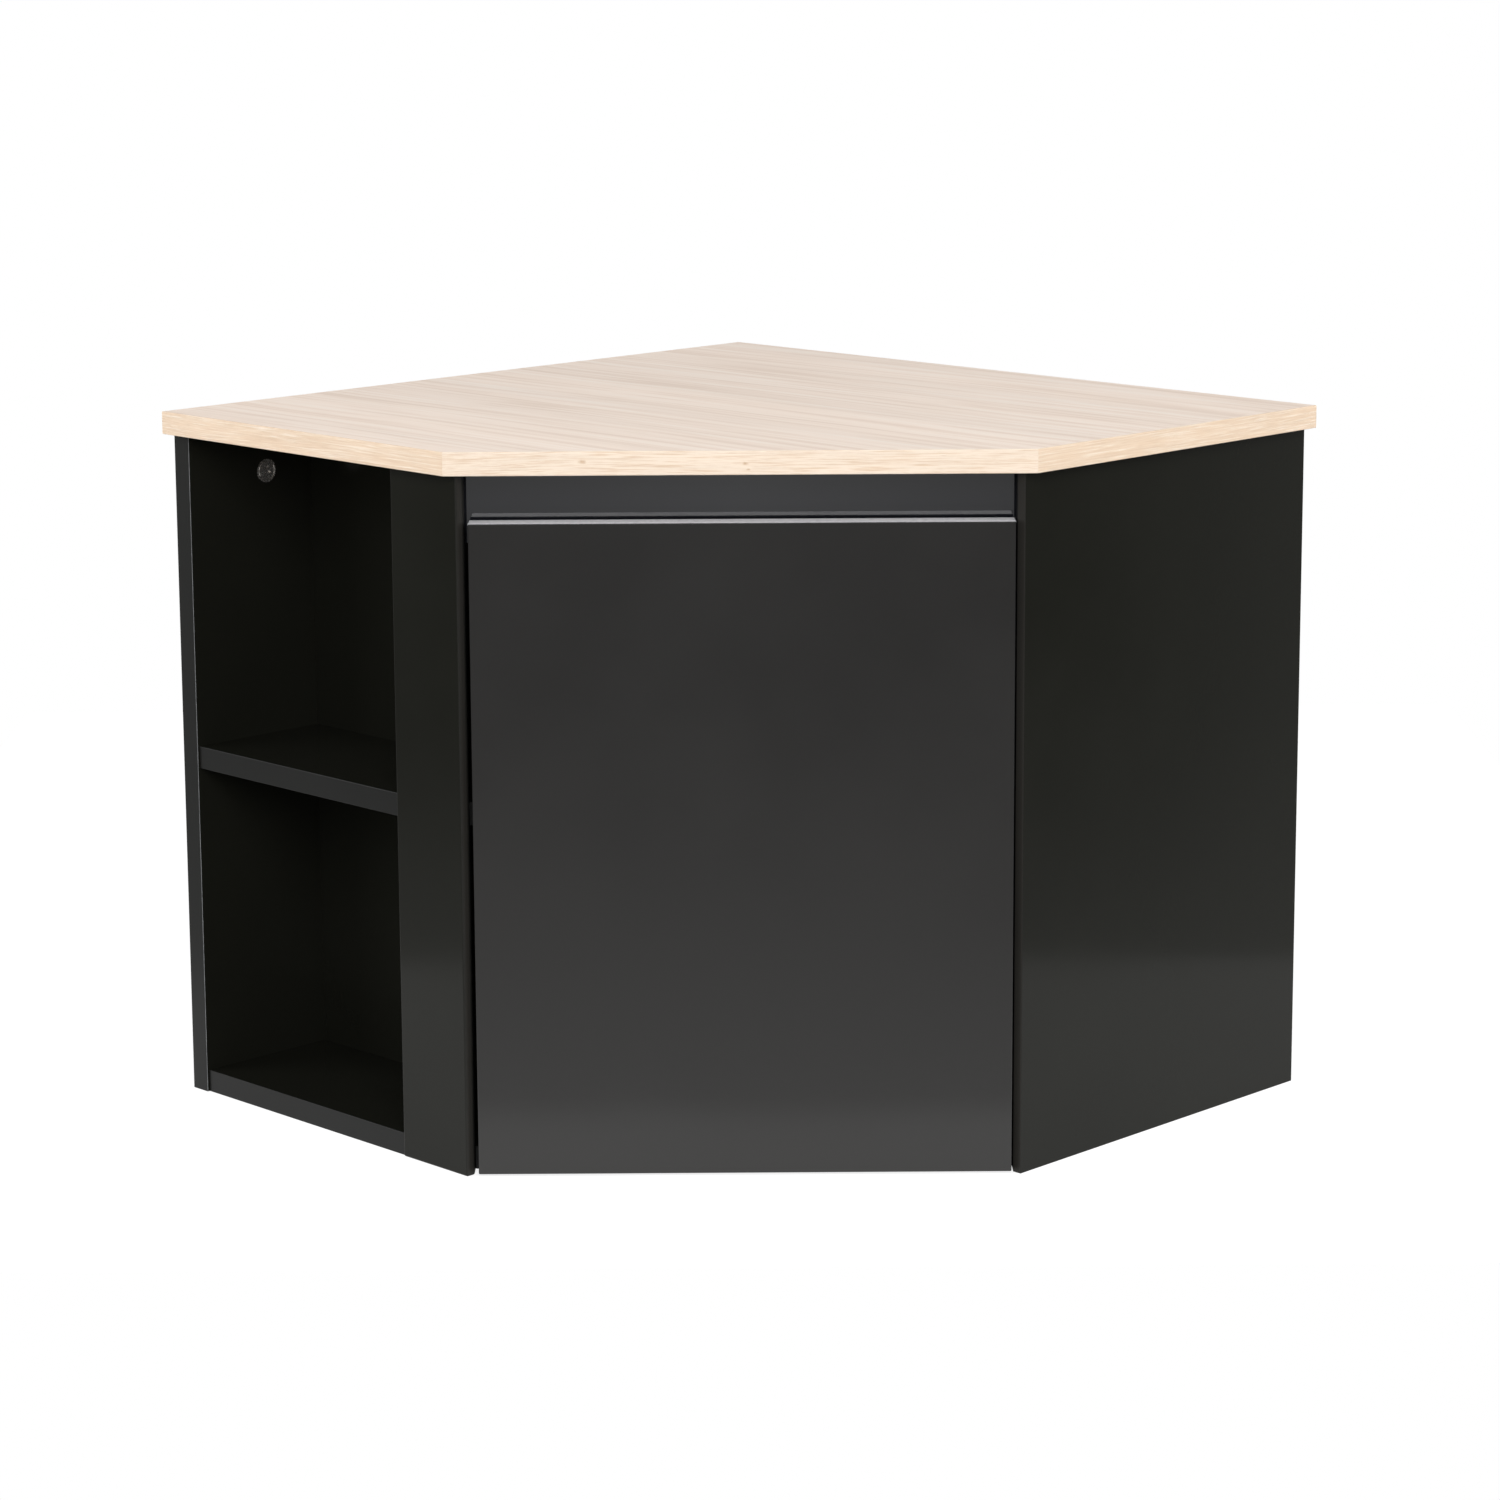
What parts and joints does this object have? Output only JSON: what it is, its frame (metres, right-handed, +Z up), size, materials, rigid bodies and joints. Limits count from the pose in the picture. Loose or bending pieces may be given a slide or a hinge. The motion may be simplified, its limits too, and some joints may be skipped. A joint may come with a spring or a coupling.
{
  "type": "corner vanity unit",
  "caption": "Corner vanity unit with a pentagonal oak worktop, an open niche with a shelf at one end, and a diagonal handle-less door below a recessed grip rail.",
  "frame": {"origin": "on the floor under the middle of the worktop's square outline", "axes": "+Z up, -X towards the left wall, +Y towards the rear wall; the door faces +X and -Y equally"},
  "size_m": [0.68, 0.68, 0.587],
  "materials": {
    "oak_worktop": "pale oak laminate, satin, fine straight grain",
    "oak_edge": "pale oak edge band, satin",
    "black_board": "black melamine, satin",
    "black_door": "black lacquer, satin",
    "silver_edge": "silver edge band, satin",
    "zinc": "nickel-plated zinc and steel",
    "screw_steel": "zinc-plated steel",
    "beech": "plain beech",
    "bumper": "clear soft plastic"
  },
  "bodies": {
    "carcass": {"worktop": "oak_worktop", "worktop_band_niche": "oak_edge", "worktop_band_front": "oak_edge", "worktop_band_end": "oak_edge", "left_wall_panel": "black_board", "right_end_panel": "black_board", "front_stile": "black_board", "niche_back_panel": "black_board", "niche_inner_side": "black_board", "bottom_panel": "black_board", "niche_shelf": "black_board", "cupboard_shelf": "black_board", "grip_rail": "black_board", "rear_top_rail": "black_board", "rear_bottom_rail": "black_board", "rear_board": "black_board", "upper_hinge_arm": "zinc", "lower_hinge_arm": "zinc", "upper_hinge_plate": "zinc", "lower_hinge_plate": "zinc", "cam_locks": "zinc", "hinge_arm_pins": "screw_steel", "hinge_plate_screws": "screw_steel", "hinge_adjusting_screws": "screw_steel", "cam_bolts": "screw_steel", "shelf_pins": "screw_steel", "worktop_brackets": "screw_steel", "bracket_screws": "screw_steel", "bottom_dowels": "beech", "niche_dowels": "beech", "shelf_dowels": "beech", "rail_dowels": "beech", "grip_dowels": "beech"},
    "door_leaf": {"door": "black_door", "door_top_band": "silver_edge", "door_bumpers": "bumper", "upper_hinge_cup": "zinc", "lower_hinge_cup": "zinc", "hinge_cup_pins": "screw_steel", "hinge_cup_screws": "screw_steel"},
    "swing_links": {"upper_swing_link": "zinc", "lower_swing_link": "zinc"},
    "couplers": {"upper_coupler": "zinc", "lower_coupler": "zinc", "hinge_coupler_pins": "screw_steel"}
  },
  "joints": [
    {"name": "door_swing", "type": "hinge", "parent": "carcass", "child": "door_leaf", "pos_m": [0.32294, -0.01975, 0.26475], "axis": [0, 0, 1], "range_deg": [0, 95]},
    {"name": "hinge_link_swing", "type": "hinge", "parent": "carcass", "child": "swing_links", "pos_m": [0.29359, -0.01303, 0.26475], "axis": [0, 0, 1], "range_deg": [0, 95]},
    {"name": "hinge_coupler_swing", "type": "hinge", "parent": "swing_links", "child": "couplers", "pos_m": [0.26637, -0.01975, 0.26475], "axis": [0, 0, 1], "range_deg": [-95, 0]}
  ],
  "couplings": [
    {"joint": "hinge_link_swing", "follows": "door_swing", "ratio": 1},
    {"joint": "hinge_coupler_swing", "follows": "door_swing", "ratio": -1}
  ]
}
